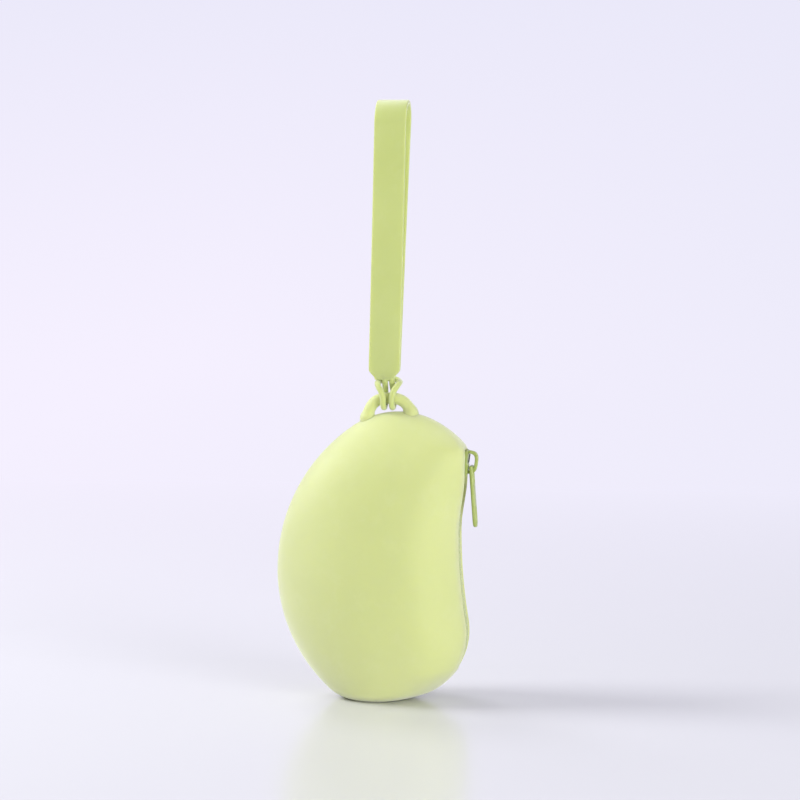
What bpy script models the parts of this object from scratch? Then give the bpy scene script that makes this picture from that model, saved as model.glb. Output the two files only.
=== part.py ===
# Silicone cosmetic pouch with a side zip and a wrist strap, in metres, +Z up.
# +X is the mouth side, -Y the front, and the origin is the middle of the flat base.
import math

import bmesh
import bpy
from mathutils import Matrix, Vector

# Outline of the bean, seen from the front
BODY_HEIGHT = 0.137
SPINE_REACH = 0.0485            # from the origin to the round back edge
SPINE_HEIGHT = 0.0608            # height of the widest point of that edge
SPINE_LOWER_RADIUS = 0.0765      # of that edge below its widest point
DOME_RADIUS = 0.0380            # round top
DOME_OFFSET = 0.0098            # top of the dome, towards the mouth
WAIST_REACH = 0.0387            # from the origin to the hollow of the mouth edge
WAIST_HEIGHT = 0.079
MOUTH_RADIUS = 0.250            # of that hollow, measured along the lips
BULGE_RADIUS = 0.033            # lower corner on the mouth side
BASE_TRIM = 0.0006              # depth of the flat cut under the bulge
SHOULDER_BLEND = 0.002          # rounding where dome and mouth edge meet
SHOULDER_SWELL = 0.0015         # how far the lips swell out below the shoulder
SWELL_HEIGHT = 0.102
SWELL_REACH = 0.020             # of the swell, up and down from that height

# Thickness of the bean, seen from the side
BODY_THICKNESS = 0.055
BELLY_HEIGHT = 0.052
BASE_NARROWING = 0.013          # how far below the base the side curve would close
BASE_EDGE = 0.0025              # rounding where the side meets the flat base

# Shell and mouth
WALL = 0.0024
LIP_DEPTH = 0.0046
MOUTH_WIDTH = 0.010
LIP_ROLL = 0.0016               # width of the rounded lip on each side of the mouth
NOSE_DEPTH = 0.002
SEAM_WIDTH = 0.0024             # ridge that carries on past the ends of the mouth
MOUTH_DROP = 0.0170             # top of the mouth below the top of the body
MOUTH_TOP = BODY_HEIGHT - MOUTH_DROP
MOUTH_BOTTOM = 0.0155

# Zip chain
CHAIN_RECESS = 0.0010           # middle of the teeth below the lips
TOOTH_PITCH = 0.0026
TOOTH_HEAD = 0.00104
TOOTH_NECK = 0.00072
TOOTH_REACH = 0.0009            # past the middle of the chain
TOOTH_THICKNESS = 0.002
BEAD_INNER = 0.0017
BEAD_OUTER = 0.0023
TOOTH_LEG = 0.0027
TOOTH_START = 0.0010            # middle of the first tooth, from the top of the chain
CHAIN_END_GAP = 0.0022          # from the last bead to the lower end of the mouth
CHAIN_DROP = 0.0030             # top of the chain below the top of the mouth
CHAIN_TOP = MOUTH_TOP - CHAIN_DROP
TAPE_THICKNESS = 0.0005
TAPE_FLANGE = 0.004
STOP_LENGTH = 0.0016
CLEARANCE = 0.0003

# Slider and puller
SLIDER_LENGTH = 0.0130
SLIDER_DROP = 0.0039            # its middle below the top of the chain, closed
SLIDER_HEIGHT = CHAIN_TOP - SLIDER_DROP
SLIDER_LOWEST = 0.0470
PLATE_THICKNESS = 0.0010
FLANGE_WIDTH = 0.0008
THROAT_FLARE = 0.0006
CROWN_WIDTH = 0.0024
CROWN_WALL = 0.0012
CROWN_EYE = 0.0036
CROWN_LENGTH = 0.0112
CROWN_SHIFT = 0.0009            # of its middle, towards the throat
PULLER_LENGTH = 0.0294
PULLER_WIDTH = 0.0066
PULLER_THICKNESS = 0.0018
PULLER_WINDOW = 0.0062
PULLER_SLOT = 0.0078
PULLER_LEAN = 4.0               # degrees out from upright, at rest
PULLER_RISE = 0.0021            # middle of its bar above the slider's face
PULLER_CORNER = 0.0008
PULLER_BAR_PLAY = 0.0008        # more than the clearance, so that the bar can turn
PULLER_SLOT_MARGIN = 0.0022
PULLER_SLOT_WIDTH = 0.0028
SPRING_THICKNESS = 0.0004

# Lug, hitch and strap
LUG_OFFSET = 0.0053
LUG_SPAN = 0.0214               # between the middles of its two legs
LUG_BAR_RADIUS = 0.0027
LUG_HEIGHT = 0.0062             # middle of the bar above the top of the body
LUG_ROOT = 0.008                # its legs start this far below the top of the body
LUG_SQUARENESS = 0.74           # 1 is an ellipse, less is squarer
HITCH_OFFSET = 0.0047
HITCH_CORD_RADIUS = 0.0014
STRAP_WIDTH = 0.0148
STRAP_THICKNESS = 0.0019
STRAP_RISE = 0.1462             # top of the fold above the top of the body
STRAP_TOP = BODY_HEIGHT + STRAP_RISE
STRAP_NECK = 0.0088             # bottom of the neck above the middle of the bar
NECK_LENGTH = 0.0044            # from there to the square ends of the plies
NECK_WIDTH = 0.0090
NECK_DEPTH = 0.0025
STRAP_SPREAD = 0.0200           # between the plies' outer faces at the top
STRAP_SPREAD_POWER = 1.2        # 1 parts the plies evenly, more starts them slowly
STRAP_SHIFT = 0.0020            # bottom of the strap to the left of the cord
STRAP_LEAN = 0.0045

# Facets
BODY_RINGS = 38
BODY_RING_HALF = 21
LINING_RINGS = 24
LINING_RING_HALF = 15


def clear_scene():
    for item in list(bpy.data.objects):
        bpy.data.objects.remove(item, do_unlink=True)


def new_collection(name):
    collection = bpy.data.collections.new(name)
    bpy.context.scene.collection.children.link(collection)
    return collection


def finish_material(name, colour, roughness, metallic=0.0):
    material = bpy.data.materials.new(name)
    material.use_nodes = True
    shader = material.node_tree.nodes["Principled BSDF"]
    shader.inputs["Base Color"].default_value = (*colour, 1.0)
    shader.inputs["Roughness"].default_value = roughness
    shader.inputs["Metallic"].default_value = metallic
    material.diffuse_color = (*colour, 1.0)
    return material


def smoothstep(low, high, value):
    ratio = min(1.0, max(0.0, (value - low) / (high - low)))
    return ratio * ratio * (3.0 - 2.0 * ratio)


def smooth_min(first, second, blend):
    ratio = max(0.0, blend - abs(first - second)) / blend
    return min(first, second) - ratio * ratio * blend / 4.0


# Objects from meshes, curves and lofts


def add_object(name, mesh, collection, material=None, centre=None):
    item = bpy.data.objects.new(name, mesh)
    collection.objects.link(item)
    if material is not None:
        mesh.materials.append(material)
    if centre is not None:
        for vertex in mesh.vertices:
            vertex.co -= centre
        item.location = centre
    return item


def loft_mesh(name, rings, start_point=None, end_point=None):
    """Skin closed rings of equal length, with a cap or a pole at each end."""
    build = bmesh.new()
    rows = [[build.verts.new(point) for point in ring] for ring in rings]
    count = len(rows[0])
    for lower, upper in zip(rows, rows[1:]):
        for index in range(count):
            after = (index + 1) % count
            build.faces.new((lower[index], lower[after], upper[after], upper[index]))
    for row, pole, flip in ((rows[0], start_point, True), (rows[-1], end_point, False)):
        if pole is None:
            build.faces.new(row[::-1] if flip else row)
            continue
        tip = build.verts.new(pole)
        for index in range(count):
            after = (index + 1) % count
            pair = (row[after], row[index]) if flip else (row[index], row[after])
            build.faces.new((*pair, tip))
    bmesh.ops.recalc_face_normals(build, faces=build.faces)
    mesh = bpy.data.meshes.new(name)
    build.to_mesh(mesh)
    build.free()
    return mesh


def face_outwards(mesh):
    build = bmesh.new()
    build.from_mesh(mesh)
    bmesh.ops.recalc_face_normals(build, faces=build.faces)
    build.to_mesh(mesh)
    build.free()


def mesh_from_curve(name, curve):
    """Turn a curve into a closed mesh whose caps are welded."""
    holder = bpy.data.objects.new(name + "_curve", curve)
    bpy.context.scene.collection.objects.link(holder)
    depsgraph = bpy.context.evaluated_depsgraph_get()
    mesh = bpy.data.meshes.new_from_object(holder.evaluated_get(depsgraph))
    bpy.data.objects.remove(holder, do_unlink=True)
    build = bmesh.new()
    build.from_mesh(mesh)
    bmesh.ops.remove_doubles(build, verts=build.verts, dist=0.000002)
    bmesh.ops.recalc_face_normals(build, faces=build.faces)
    build.to_mesh(mesh)
    build.free()
    mesh.name = name
    return mesh


def tube_mesh(name, points, radius, resolution=2):
    curve = bpy.data.curves.new(name, "CURVE")
    curve.dimensions = "3D"
    curve.bevel_depth = radius
    curve.bevel_resolution = resolution
    curve.use_fill_caps = True
    spline = curve.splines.new("POLY")
    spline.points.add(len(points) - 1)
    for knot, point in zip(spline.points, points):
        knot.co = (*point, 1.0)
    return mesh_from_curve(name, curve)


def plate_mesh(name, outlines, thickness):
    """Fill flat outlines, the first outer and the rest holes, and extrude them."""
    curve = bpy.data.curves.new(name, "CURVE")
    curve.dimensions = "2D"
    curve.fill_mode = "BOTH"
    curve.extrude = thickness / 2.0
    for outline in outlines:
        spline = curve.splines.new("POLY")
        spline.points.add(len(outline) - 1)
        spline.use_cyclic_u = True
        for knot, point in zip(spline.points, outline):
            knot.co = (point[0], point[1], 0.0, 1.0)
    return mesh_from_curve(name, curve)


def cut_or_join(item, other, operation):
    modifier = item.modifiers.new(operation.lower() + "_" + other.name, "BOOLEAN")
    modifier.operation = operation
    modifier.solver = "EXACT"
    modifier.object = other


def as_cutter(item):
    item.hide_render = True
    item.display_type = "WIRE"
    return item


def round_edges(item, width, segments=2, angle=35.0):
    bevel = item.modifiers.new("rounded_edges", "BEVEL")
    bevel.width = width
    bevel.segments = segments
    bevel.limit_method = "ANGLE"
    bevel.angle_limit = math.radians(angle)


def shade_round(item, angle=40.0):
    item.data.shade_smooth()
    item.data.set_sharp_from_angle(angle=math.radians(angle))


def spline_points(knots, per_span):
    """Catmull-Rom curve through the knots, ends included."""
    knots = [Vector(knot) for knot in knots]
    padded = [2.0 * knots[0] - knots[1], *knots, 2.0 * knots[-1] - knots[-2]]
    points = []
    for index in range(1, len(padded) - 2):
        before, start, end, after = padded[index - 1:index + 3]
        for step in range(per_span):
            t = step / per_span
            points.append(
                0.5 * (2.0 * start + (end - before) * t
                       + (2.0 * before - 5.0 * start + 4.0 * end - after) * t * t
                       + (3.0 * start - before - 3.0 * end + after) * t ** 3))
    points.append(knots[-1])
    return points


# Outline of the body: a chain of arcs in the XZ plane


def mouth_centre():
    return Vector((WAIST_REACH + MOUTH_RADIUS, 0.0, WAIST_HEIGHT))


def bulge_centre():
    height = BULGE_RADIUS - BASE_TRIM
    drop = WAIST_HEIGHT - height
    reach = math.sqrt((MOUTH_RADIUS + BULGE_RADIUS) ** 2 - drop ** 2)
    return Vector((mouth_centre().x - reach, 0.0, height))


def dome_centre():
    return Vector((DOME_OFFSET, 0.0, BODY_HEIGHT - DOME_RADIUS))


def spine_radius():
    """Radius of the back edge, tangent to the dome inside it."""
    across = DOME_OFFSET + SPINE_REACH
    rise = dome_centre().z - SPINE_HEIGHT
    return (across ** 2 + rise ** 2 - DOME_RADIUS ** 2) / (2.0 * (across - DOME_RADIUS))


def half_chord(radius, offset):
    return math.sqrt(max(0.0, radius ** 2 - offset ** 2))


def left_edge(height):
    if height < SPINE_HEIGHT:
        lower = SPINE_LOWER_RADIUS
        return lower - SPINE_REACH - half_chord(lower, height - SPINE_HEIGHT)
    radius = spine_radius()
    centre_x = radius - SPINE_REACH
    dome = dome_centre()
    direction = Vector((dome.x - centre_x, dome.z - SPINE_HEIGHT)).normalized()
    tangent_height = dome.z + DOME_RADIUS * direction.y
    if height > tangent_height:
        return dome.x - half_chord(DOME_RADIUS, height - dome.z)
    return centre_x - half_chord(radius, height - SPINE_HEIGHT)


def lip_edge(height):
    """Mouth side of the outline, along the crests of the lips."""
    bulge = bulge_centre()
    mouth = mouth_centre()
    towards = (mouth - bulge).normalized()
    if height < bulge.z + BULGE_RADIUS * towards.z:
        return bulge.x + half_chord(BULGE_RADIUS, height - bulge.z)
    hollow = mouth.x - half_chord(MOUTH_RADIUS, height - mouth.z)
    hollow += SHOULDER_SWELL * smoothstep(SWELL_REACH, 0.0, abs(height - SWELL_HEIGHT))
    dome = dome_centre()
    if height < dome.z:
        return hollow
    crown = dome.x + half_chord(DOME_RADIUS, height - dome.z)
    blend = SHOULDER_BLEND * smoothstep(BODY_HEIGHT, MOUTH_TOP, height)
    return smooth_min(hollow, crown, max(blend, 0.00001))


def half_thickness(height):
    if height > BELLY_HEIGHT:
        ratio = (height - BELLY_HEIGHT) / (BODY_HEIGHT - BELLY_HEIGHT)
    else:
        ratio = (BELLY_HEIGHT - height) / (BELLY_HEIGHT + BASE_NARROWING)
    return BODY_THICKNESS / 2.0 * max(0.0, 1.0 - ratio ** 2.4) ** 0.6


def mouth_share(height):
    """1 along the mouth, falling to 0 past its ends."""
    above = smoothstep(MOUTH_TOP + 0.010, MOUTH_TOP - 0.001, height)
    below = smoothstep(MOUTH_BOTTOM - 0.012, MOUTH_BOTTOM + 0.001, height)
    return above * below


def nose_half_width(height):
    wide = MOUTH_WIDTH / 2.0 + LIP_ROLL
    share = mouth_share(height)
    return SEAM_WIDTH / 2.0 + (wide - SEAM_WIDTH / 2.0) * share


def nose_rise():
    """How far the uncut nose stands out past the crest of a lip."""
    wide = MOUTH_WIDTH / 2.0 + LIP_ROLL
    return NOSE_DEPTH * (1.0 - math.sqrt(1.0 - (MOUTH_WIDTH / 2.0 / wide) ** 2))


def section(height, inset, lip_inset, half_count, level=None):
    """Closed ring at one height: round at the back edge, a blunt nose at the mouth."""
    left = left_edge(height) + inset
    right = lip_edge(height) + nose_rise() * mouth_share(height) - lip_inset
    thick = max(0.0, half_thickness(height) - inset)
    nose = nose_half_width(height) - min(inset, 0.0006)
    nose *= min(1.0, thick / 0.006)
    middle = (left + right) / 2.0
    half = max(0.00005, (right - left) / 2.0)
    depth = min(NOSE_DEPTH, 0.2 * half)
    front = []
    for step in range(1, half_count):
        across = -math.cos(math.pi * step / half_count)
        x = middle + half * across
        full = 1.0 - across * across
        lens = smoothstep(-0.3, 1.0, across)
        bow = math.sqrt(full) * (1.0 - lens) + full ** 0.8 * lens
        fall = max(0.0, x - (right - depth)) / depth
        ridge = smoothstep(0.1, 1.0, across) * math.sqrt(max(0.0, 1.0 - fall * fall))
        front.append((x, thick * bow + nose * ridge))
    z = height if level is None else level
    ring = [(middle - half, 0.0, z)]
    ring += [(x, -y, z) for x, y in front]
    ring += [(middle + half, 0.0, z)]
    ring += [(x, y, z) for x, y in reversed(front)]
    return ring


def edge_tuck(level, edge):
    """How far the side draws in above the base, so that the corner is round."""
    if level >= edge:
        return 0.0
    return edge - half_chord(edge, edge - level)


def body_loft(name, rings, half_count, inset=0.0, lip_inset=0.0, floor=0.0, edge=0.0):
    """Stack of sections from the base to the dome, closed to a point at the top."""
    top = BODY_HEIGHT - inset
    stack = []
    for step in range(rings):
        share = (1.0 - math.cos(math.pi * step / rings)) / 2.0
        level = floor + (top - floor) * share
        height = BODY_HEIGHT * (level - floor) / (top - floor) * (1.0 - floor / top) + floor
        tuck = edge_tuck(level, edge)
        stack.append(section(min(height, BODY_HEIGHT), inset + tuck, lip_inset + tuck,
                             half_count, level))
    return loft_mesh(name, stack, end_point=(DOME_OFFSET, 0.0, top))


# Path of the zip, from its top end down the hollow and round the bulge


def chain_radius():
    return MOUTH_RADIUS + CHAIN_RECESS


def chain_angle(height):
    """Angle above the level of the waist, seen from the far centre of the hollow."""
    return math.asin((height - WAIST_HEIGHT) / chain_radius())


def chain_path_length(top, bottom):
    bulge = bulge_centre()
    towards = mouth_centre() - bulge
    turn = math.atan2(towards.z, towards.x)
    upper = chain_radius() * (chain_angle(top) + turn)
    small = BULGE_RADIUS - CHAIN_RECESS
    lower = small * (turn - math.asin((bottom - bulge.z) / small))
    return upper, lower


def chain_frame(top, distance):
    """Point on the chain, its downward direction and its outward normal."""
    mouth = mouth_centre()
    bulge = bulge_centre()
    towards = mouth - bulge
    turn = math.atan2(towards.z, towards.x)
    upper = chain_radius() * (chain_angle(top) + turn)
    if distance <= upper:
        angle = chain_angle(top) - distance / chain_radius()
        outward = Vector((math.cos(angle), 0.0, -math.sin(angle)))
        point = mouth - outward * chain_radius()
    else:
        small = BULGE_RADIUS - CHAIN_RECESS
        angle = turn - (distance - upper) / small
        outward = Vector((math.cos(angle), 0.0, math.sin(angle)))
        point = bulge + outward * small
    downward = Vector((outward.z, 0.0, -outward.x))
    return point, downward, outward


def along_chain(top, distance, across, proud):
    point, _, outward = chain_frame(top, distance)
    return point + outward * proud + Vector((0.0, across, 0.0))


def chain_length():
    upper, lower = chain_path_length(CHAIN_TOP, MOUTH_BOTTOM)
    return upper + lower - CHAIN_END_GAP


def sweep_along_chain(name, profile, start, end, steps):
    """Loft a profile of (across, proud) points along the chain."""
    rings = []
    for step in range(steps + 1):
        distance = start + (end - start) * step / steps
        rings.append([along_chain(CHAIN_TOP, distance, a, p) for a, p in profile])
    return loft_mesh(name, rings)


def bend_plate_to_chain(mesh):
    """Lay a flat plate, drawn as (distance, across, proud), along the chain."""
    for vertex in mesh.vertices:
        distance, across, proud = vertex.co
        vertex.co = along_chain(CHAIN_TOP, distance, across, proud)


# Sub-parts


def make_pouch_body(parts, cutters, material):
    shell = body_loft("pouch_body", BODY_RINGS, BODY_RING_HALF, edge=BASE_EDGE)
    body = add_object("pouch_body", shell, parts, material)
    lining = body_loft("lining", LINING_RINGS, LINING_RING_HALF, WALL, LIP_DEPTH, WALL)
    hollow = as_cutter(add_object("lining_cutter", lining, cutters))
    half = MOUTH_WIDTH / 2.0
    depth = LIP_DEPTH + 0.003
    profile = [(-half, -depth), (half, -depth), (half, 0.006), (-half, 0.006)]
    upper, lower = chain_path_length(CHAIN_TOP, MOUTH_BOTTOM)
    above = MOUTH_TOP - CHAIN_TOP
    slot = sweep_along_chain("mouth", profile, -above, upper + lower, 44)
    mouth = as_cutter(add_object("mouth_cutter", slot, cutters))
    cut_or_join(body, hollow, "DIFFERENCE")
    cut_or_join(body, mouth, "DIFFERENCE")
    shade_round(body, 35.0)
    return body


def lug_bar_centre():
    return Vector((LUG_OFFSET, 0.0, BODY_HEIGHT + LUG_HEIGHT))


def make_strap_lug(parts, cutters, material):
    centre = lug_bar_centre()
    rise = LUG_HEIGHT + LUG_ROOT
    points = []
    for step in range(25):
        angle = math.pi * step / 24.0
        across = math.copysign(abs(math.cos(angle)) ** LUG_SQUARENESS, -math.cos(angle))
        up = math.sin(angle) ** LUG_SQUARENESS
        points.append((centre.x + LUG_SPAN / 2.0 * across, 0.0, centre.z - rise + rise * up))
    lug = add_object("strap_lug", tube_mesh("strap_lug", points, LUG_BAR_RADIUS, 4),
                     parts, material)
    cover = body_loft("lug_seat", BODY_RINGS, BODY_RING_HALF, -CLEARANCE, -CLEARANCE)
    seat = as_cutter(add_object("lug_seat_cutter", cover, cutters))
    cut_or_join(lug, seat, "DIFFERENCE")
    shade_round(lug)
    return lug


def hitch_half(side):
    """One side of the cord: down behind the bar, under it, up in front, round the neck."""
    bar = lug_bar_centre()
    turn = LUG_BAR_RADIUS + CLEARANCE + HITCH_CORD_RADIUS
    neck = STRAP_NECK - CLEARANCE
    knots = [
        (1.65, 0.0, neck),
        (1.68, 0.0002, neck - 0.0010),
        (1.75, 0.0016, neck - 0.0030),
        (1.95, turn * 0.90, turn * 0.52),
    ]
    for step in range(9):
        angle = math.pi * step / 8.0
        knots.append((2.05, turn * math.cos(angle), -turn * math.sin(angle)))
    knots += [
        (2.7, -turn * 1.02, 0.0030),
        (4.1, -0.0036, 0.0054),
        (5.05, -0.0010, 0.0071),
        (4.9, 0.0034, 0.0075),
        (2.8, 0.0050, 0.0085),
    ]
    return [(HITCH_OFFSET + side * x / 1000.0, y, bar.z + z) for x, y, z in knots]


def make_hitch_loop(parts, material):
    left = hitch_half(-1.0)
    right = hitch_half(1.0)
    bight = (HITCH_OFFSET, 0.0056, lug_bar_centre().z + 0.0089)
    points = spline_points([*left, bight, *reversed(right)], 2)
    mesh = tube_mesh("strap_hitch_loop", points, HITCH_CORD_RADIUS, 2)
    loop = add_object("strap_hitch_loop", mesh, parts, material, lug_bar_centre())
    shade_round(loop, 60.0)
    return loop


def strap_centre_x(height):
    start = lug_bar_centre().z + STRAP_NECK
    share = (height - start) / (STRAP_TOP - start)
    return HITCH_OFFSET - STRAP_SHIFT + STRAP_LEAN * share


def strap_ply_y(height, start, end):
    """Distance of a ply's middle from the strap's middle plane."""
    share = max(0.0, (height - start) / (end - start)) ** STRAP_SPREAD_POWER
    narrow = STRAP_THICKNESS / 2.0 + 0.0002
    return narrow + (STRAP_SPREAD / 2.0 - STRAP_THICKNESS / 2.0 - narrow) * share


def make_wrist_strap(parts, cutters, material):
    """Closed band: two plies that part slowly and fold over at the top."""
    start = lug_bar_centre().z + STRAP_NECK + NECK_LENGTH
    fold = STRAP_SPREAD / 2.0 - STRAP_THICKNESS / 2.0
    fold_height = STRAP_TOP - STRAP_THICKNESS / 2.0 - fold
    path = []
    for step in range(19):
        height = start + (fold_height - start) * step / 18.0
        path.append((-strap_ply_y(height, start, fold_height), height))
    for step in range(1, 10):
        angle = math.pi * step / 10.0
        path.append((-fold * math.cos(angle), fold_height + fold * math.sin(angle)))
    path += [(-y, z) for y, z in reversed(path[:19])]
    rings = []
    half_thick = STRAP_THICKNESS / 2.0
    half = STRAP_WIDTH / 2.0
    ease = 0.0005
    for index, middle in enumerate(path):
        before = path[max(0, index - 1)]
        after = path[min(len(path) - 1, index + 1)]
        run = Vector((after[0] - before[0], after[1] - before[1])).normalized()
        out = (-run.y, run.x)
        ring = []
        for x, t in ((-half, -half_thick + ease), (-half, half_thick - ease),
                     (-half + ease, half_thick), (half - ease, half_thick),
                     (half, half_thick - ease), (half, -half_thick + ease),
                     (half - ease, -half_thick), (-half + ease, -half_thick)):
            z = middle[1] + out[1] * t
            ring.append((strap_centre_x(z) + x, middle[0] + out[0] * t, z))
        rings.append(ring)
    strap = add_object("wrist_strap", loft_mesh("wrist_strap", rings), parts, material,
                       lug_bar_centre())
    neck = add_object("strap_neck", neck_mesh(), cutters, None, lug_bar_centre())
    cut_or_join(strap, as_cutter(neck), "UNION")
    shade_round(strap)
    return strap


def neck_mesh():
    """Wedge that gathers both plies into the root of the cord."""
    bottom = lug_bar_centre().z + STRAP_NECK
    full_width = STRAP_WIDTH - 0.0004
    full_depth = 2.0 * STRAP_THICKNESS + 0.0002
    rings = []
    for share, width_share, depth_share in (
            (0.0, 0.0, 0.0), (0.36, 0.10, 0.3), (0.68, 0.60, 0.75), (0.90, 0.86, 0.95),
            (1.08, 0.98, 1.0), (1.5, 1.0, 1.0)):
        height = bottom + NECK_LENGTH * share
        width = NECK_WIDTH + (full_width - NECK_WIDTH) * width_share
        depth = NECK_DEPTH + (full_depth - NECK_DEPTH) * depth_share
        middle = strap_centre_x(height)
        ease = 0.3 * depth
        half = width / 2.0
        side = depth / 2.0
        rings.append([
            (middle - half, -side + ease, height), (middle - half + ease, -side, height),
            (middle + half - ease, -side, height), (middle + half, -side + ease, height),
            (middle + half, side - ease, height), (middle + half - ease, side, height),
            (middle - half + ease, side, height), (middle - half, side - ease, height)])
    return loft_mesh("strap_neck", rings)


def make_zipper_tape(name, side, parts, material):
    """Flat strip beside the teeth, turned in along the lip that it is bonded to."""
    half = TAPE_THICKNESS / 2.0
    inner = TOOTH_LEG + CLEARANCE
    outer = MOUTH_WIDTH / 2.0 - CLEARANCE
    wall = outer - TAPE_THICKNESS
    profile = [
        (inner, half), (wall - 0.0004, half), (wall + 0.0002, half - 0.0001),
        (outer, half - 0.0006), (outer, -TAPE_FLANGE), (wall, -TAPE_FLANGE),
        (wall, -half - 0.0005), (wall - 0.0005, -half), (inner, -half)]
    profile = [(side * across, proud) for across, proud in profile]
    start = CLEARANCE - (MOUTH_TOP - CHAIN_TOP)
    end = sum(chain_path_length(CHAIN_TOP, MOUTH_BOTTOM)) - CLEARANCE
    mesh = sweep_along_chain(name, profile, start, end, 40)
    tape = add_object(name, mesh, parts, material)
    shade_round(tape, 50.0)
    return tape


def teeth_outline(shift):
    """Bead with one tooth a pitch, drawn as (distance, across) on the +across side."""
    head = TOOTH_HEAD / 2.0
    neck = TOOTH_NECK / 2.0
    leg = TOOTH_PITCH * 0.31
    end = chain_length()
    count = int((end - TOOTH_START - TOOTH_HEAD / 2.0 - shift) / TOOTH_PITCH)
    inner = [(0.0, BEAD_INNER)]
    outer = [(0.0, BEAD_OUTER)]
    for number in range(count):
        middle = TOOTH_START + shift + number * TOOTH_PITCH
        inner += [
            (middle - neck, BEAD_INNER), (middle - neck, 0.0004),
            (middle - head, 0.0001), (middle - head, -0.6 * TOOTH_REACH),
            (middle - neck, -TOOTH_REACH), (middle + neck, -TOOTH_REACH),
            (middle + head, -0.6 * TOOTH_REACH), (middle + head, 0.0001),
            (middle + neck, 0.0004), (middle + neck, BEAD_INNER)]
        outer += [
            (middle - leg, BEAD_OUTER), (middle - leg, TOOTH_LEG),
            (middle + leg, TOOTH_LEG), (middle + leg, BEAD_OUTER)]
    inner.append((end, BEAD_INNER))
    outer.append((end, BEAD_OUTER))
    return inner + outer[::-1]


def comb_mesh(name, outline, thickness):
    """Extrude a long outline, divided at each half pitch so that it can bend."""
    build = bmesh.new()
    build.faces.new([build.verts.new((x, y, -thickness / 2.0)) for x, y in outline])
    length = max(x for x, _ in outline)
    for number in range(1, int(2.0 * length / TOOTH_PITCH)):
        line = (TOOTH_START + (number - 1) * TOOTH_PITCH / 2.0, 0.0, 0.0)
        everything = [*build.verts, *build.edges, *build.faces]
        bmesh.ops.bisect_plane(build, geom=everything, dist=0.000001, plane_co=line,
                               plane_no=(1.0, 0.0, 0.0))
    grown = bmesh.ops.extrude_face_region(build, geom=list(build.faces))
    raised = [item for item in grown["geom"] if isinstance(item, bmesh.types.BMVert)]
    bmesh.ops.translate(build, verts=raised, vec=(0.0, 0.0, thickness))
    bmesh.ops.recalc_face_normals(build, faces=build.faces)
    mesh = bpy.data.meshes.new(name)
    build.to_mesh(mesh)
    build.free()
    return mesh


def make_teeth_row(name, side, shift, parts, material):
    outline = [(distance, side * across) for distance, across in teeth_outline(shift)]
    mesh = comb_mesh(name, outline, TOOTH_THICKNESS)
    bend_plate_to_chain(mesh)
    return add_object(name, mesh, parts, material)


def block_on_chain(name, start, end, low, high, half_thick, parts, material):
    ease = 0.0002
    profile = [
        (low + ease, -half_thick), (high - ease, -half_thick), (high, -half_thick + ease),
        (high, half_thick - ease), (high - ease, half_thick), (low + ease, half_thick),
        (low, half_thick - ease), (low, -half_thick + ease)]
    mesh = sweep_along_chain(name, profile, start, end, 1)
    return add_object(name, mesh, parts, material)


def make_end_stops(parts, material):
    thick = TOOTH_THICKNESS / 2.0
    above = -CLEARANCE - STOP_LENGTH
    block_on_chain("front_top_stop", above, -CLEARANCE, -TOOTH_LEG, -0.0012, thick,
                   parts, material)
    block_on_chain("back_top_stop", above, -CLEARANCE, 0.0012, TOOTH_LEG, thick,
                   parts, material)
    start = chain_length() + CLEARANCE
    block_on_chain("bottom_stop", start, start + STOP_LENGTH, -TOOTH_LEG, TOOTH_LEG, thick,
                   parts, material)


def slider_angle():
    return chain_angle(SLIDER_HEIGHT)


def slider_point(up, across, proud):
    """Point up the chain from the slider's middle, across it and out from it."""
    angle = slider_angle() + up / chain_radius()
    outward = Vector((math.cos(angle), 0.0, -math.sin(angle)))
    return mouth_centre() - outward * (chain_radius() - proud) + Vector((0.0, across, 0.0))


def slider_half_width(up):
    """Narrow at the tail, flared at the throat."""
    narrow = TOOTH_LEG + CLEARANCE + FLANGE_WIDTH
    flare = smoothstep(-0.05, 0.30, up / SLIDER_LENGTH)
    shoulder = max(0.0, (up / SLIDER_LENGTH - 0.36) / 0.14)
    return narrow + THROAT_FLARE * flare - 0.0012 * shoulder ** 2


def make_slider_plate(name, face, parts, material):
    """One plate with its two side flanges, face +1 outside and -1 inside."""
    inner = TOOTH_THICKNESS / 2.0 + CLEARANCE
    outer = inner + PLATE_THICKNESS
    foot = TAPE_THICKNESS / 2.0 + CLEARANCE
    channel = TOOTH_LEG + CLEARANCE
    ease = 0.0003
    rings = []
    for step in range(13):
        up = SLIDER_LENGTH * (step / 12.0 - 0.5)
        half = slider_half_width(up)
        if face < 0:
            half = min(half, MOUTH_WIDTH / 2.0 - TAPE_THICKNESS - 2.0 * CLEARANCE - 0.0001)
        lane = min(channel, half - 0.4 * FLANGE_WIDTH)
        end = abs(up) / SLIDER_LENGTH * 2.0
        top = outer - 0.0004 * max(0.0, end - 0.7) / 0.3
        profile = [
            (-half, foot), (-lane, foot), (-lane, inner), (lane, inner), (lane, foot),
            (half, foot), (half, top - ease), (half - ease, top), (-half + ease, top),
            (-half, top - ease)]
        rings.append([slider_point(up, a, face * p) for a, p in profile])
    mesh = loft_mesh(name, rings)
    plate = add_object(name, mesh, parts, material)
    shade_round(plate)
    return plate


def plate_face():
    return TOOTH_THICKNESS / 2.0 + CLEARANCE + PLATE_THICKNESS


def crown_path(rise, length, low):
    """Bridge seen from the side: steep at the throat end, long slope to the tail."""
    points = []
    for step in range(17):
        angle = math.pi * step / 16.0
        up = math.copysign(abs(math.cos(angle)) ** 0.7, math.cos(angle)) * length / 2.0
        out = low + (rise - low) * math.sin(angle) ** 0.55
        points.append((up + CROWN_SHIFT, out))
    return points


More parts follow.
